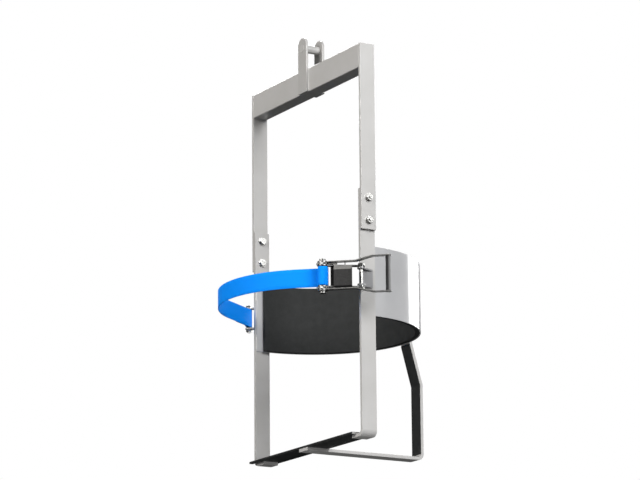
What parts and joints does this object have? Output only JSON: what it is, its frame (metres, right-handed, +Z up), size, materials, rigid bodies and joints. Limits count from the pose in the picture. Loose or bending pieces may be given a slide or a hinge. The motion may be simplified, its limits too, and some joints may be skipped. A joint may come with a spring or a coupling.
{
  "type": "drum lifter",
  "caption": "Hanging steel frame for an upright drum: top beam with lifting ears, bolted side legs, floor crossbar, curved padded back rest and a ratchet strap.",
  "frame": {"origin": "on the floor, straight below the middle of the lifting pin", "axes": "+Z up; X along the top beam, with the buckle's leg at +X; +Y towards the curved back rest"},
  "size_m": [0.7894, 0.6682, 1.3083],
  "materials": {
    "frame_paint": "satin",
    "black_coating": "satin",
    "zinc_hardware": "zinc plated",
    "buckle_steel": "zinc plated",
    "spring_wire": "satin",
    "rubber": "matt",
    "grip": "matt",
    "webbing": "woven"
  },
  "bodies": {
    "frame": {"top_beam": "frame_paint", "lifting_ear_front": "frame_paint", "lifting_ear_back": "frame_paint", "lifting_pin": "frame_paint", "upper_leg_right": "frame_paint", "upper_leg_left": "frame_paint", "lower_leg_right": "frame_paint", "lower_leg_left": "frame_paint", "leg_bolts": "zinc_hardware", "leg_washers": "zinc_hardware", "leg_nuts": "zinc_hardware", "bottom_crossbar": "black_coating", "crossbar_screws": "zinc_hardware", "rear_post": "frame_paint", "rear_post_lining": "rubber", "back_rest": "frame_paint", "back_rest_lining": "rubber", "strap_anchor_right": "frame_paint", "anchor_bolt_right": "zinc_hardware", "anchor_nut_right": "zinc_hardware", "anchor_spacers": "zinc_hardware", "strap_anchor_left": "frame_paint", "anchor_bolt_left": "zinc_hardware", "anchor_nut_left": "zinc_hardware", "anchor_sleeve_left": "zinc_hardware", "strap": "webbing"},
    "buckle_base": {"buckle_side_top": "buckle_steel", "buckle_side_bottom": "buckle_steel", "buckle_bridge": "buckle_steel", "lock_spring": "spring_wire"},
    "spool": {"spool_half_inner": "buckle_steel", "spool_half_outer": "buckle_steel", "ratchet_wheel_top": "buckle_steel", "ratchet_wheel_bottom": "buckle_steel", "strap_wrap": "webbing", "spool_washers": "buckle_steel", "spool_cotters": "buckle_steel"},
    "handle": {"handle_side_top": "buckle_steel", "handle_side_bottom": "buckle_steel", "handle_bridge": "buckle_steel", "release_spring": "spring_wire", "handle_grip": "grip", "grip_rod": "buckle_steel"},
    "release_slide": {"release_slide": "buckle_steel"},
    "lock_pawl": {"lock_pawl": "buckle_steel"}
  },
  "joints": [
    {"name": "buckle_swing", "type": "hinge", "parent": "frame", "child": "buckle_base", "pos_m": [0.3443, -0.0333, 0.475], "axis": [0, 0, 1], "range_deg": [0, 25]},
    {"name": "spool_turn", "type": "hinge", "parent": "buckle_base", "child": "spool", "pos_m": [0.29196, -0.13603, 0.475], "axis": [0, 0, 1], "continuous": true},
    {"name": "handle_swing", "type": "hinge", "parent": "buckle_base", "child": "handle", "pos_m": [0.29196, -0.13603, 0.475], "axis": [0, 0, -1], "range_deg": [0, 150]},
    {"name": "release_pull", "type": "slide", "parent": "handle", "child": "release_slide", "axis": [0.6626, 0.749, 0], "range_m": [0, 0.007], "stiffness_N_per_m": 1200, "springref_m": -0.004, "deforming": ["release_spring"]},
    {"name": "lock_pull", "type": "slide", "parent": "buckle_base", "child": "lock_pawl", "axis": [0.454, 0.891, 0], "range_m": [0, 0.005], "stiffness_N_per_m": 1200, "springref_m": -0.004, "deforming": ["lock_spring"]}
  ]
}
